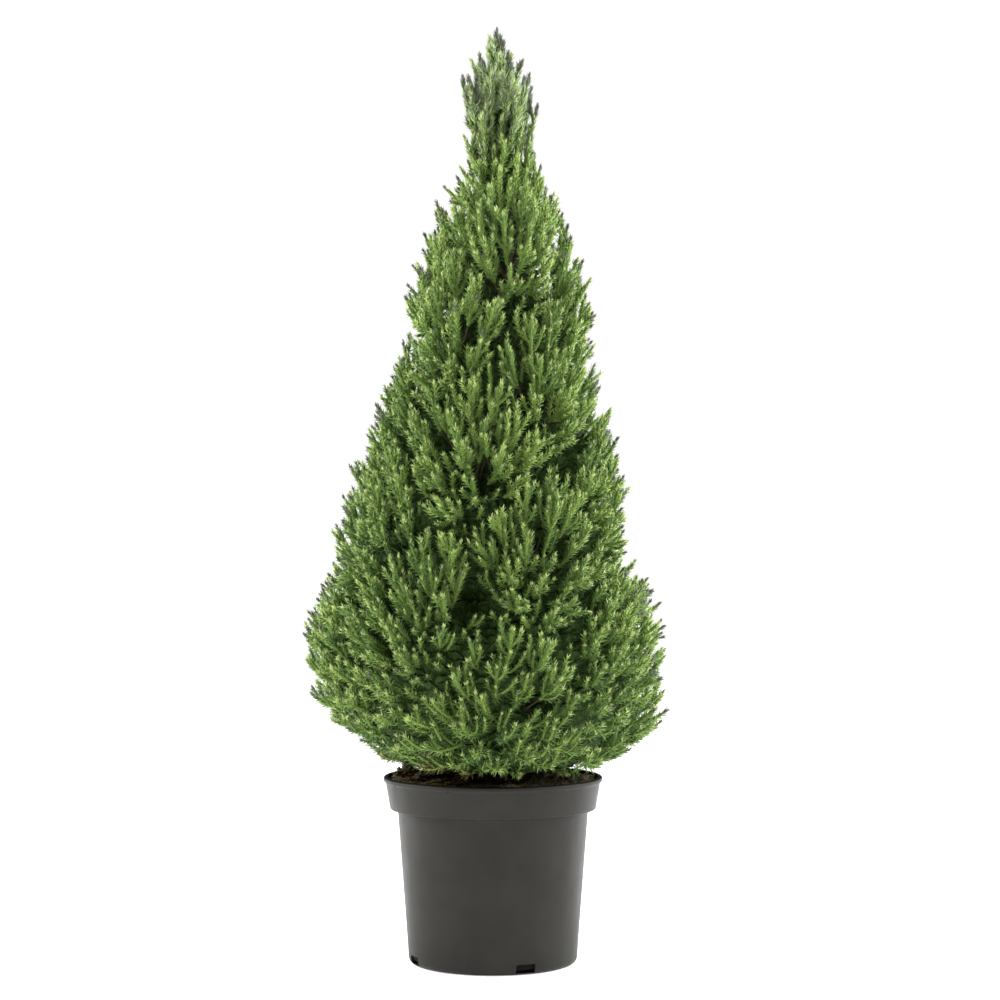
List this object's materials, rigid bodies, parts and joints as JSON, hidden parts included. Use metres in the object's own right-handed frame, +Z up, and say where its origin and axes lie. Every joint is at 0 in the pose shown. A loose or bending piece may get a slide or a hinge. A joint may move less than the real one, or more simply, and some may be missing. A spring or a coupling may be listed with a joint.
{
  "type": "potted dwarf alberta spruce",
  "caption": "dwarf conical spruce in a round plastic nursery pot: a dense cone of short needled shoots with a narrow spire, on one trunk",
  "frame": {"origin": "centre of the pot's flat underside", "axes": "+Z up along the trunk; the side seen from the front faces -Y; +X to the right of that view"},
  "size_m": [0.3982, 0.3921, 1.0247],
  "materials": {
    "plastic": "dark grey semi-matt moulded plastic",
    "soil": "damp dark brown potting mix",
    "bark": "rough grey-brown bark",
    "foliage": "fresh green needles, paler at the shoot tips"
  },
  "bodies": {
    "root": {"pot": "plastic", "soil": "soil", "trunk": "bark", "bough_01": "bark", "bough_02": "bark", "bough_03": "bark", "bough_04": "bark", "bough_05": "bark", "bough_06": "bark", "bough_07": "bark", "bough_08": "bark", "bough_09": "bark", "bough_10": "bark", "bough_11": "bark", "bough_12": "bark", "bough_13": "bark", "bough_14": "bark", "bough_15": "bark", "bough_16": "bark", "bough_17": "bark", "bough_18": "bark", "bough_19": "bark", "bough_20": "bark", "bough_21": "bark", "bough_22": "bark", "bough_23": "bark", "foliage_01": "foliage", "foliage_02": "foliage", "foliage_03": "foliage", "foliage_04": "foliage", "foliage_05": "foliage", "foliage_06": "foliage", "foliage_07": "foliage", "foliage_08": "foliage", "foliage_09": "foliage", "foliage_10": "foliage", "foliage_11": "foliage", "foliage_12": "foliage", "foliage_13": "foliage", "foliage_14": "foliage", "foliage_15": "foliage", "foliage_16": "foliage", "foliage_17": "foliage", "foliage_18": "foliage", "foliage_19": "foliage", "foliage_20": "foliage", "foliage_21": "foliage", "foliage_22": "foliage", "foliage_23": "foliage", "foliage_24": "foliage", "foliage_25": "foliage", "foliage_26": "foliage", "foliage_tip": "foliage"}
  },
  "joints": []
}
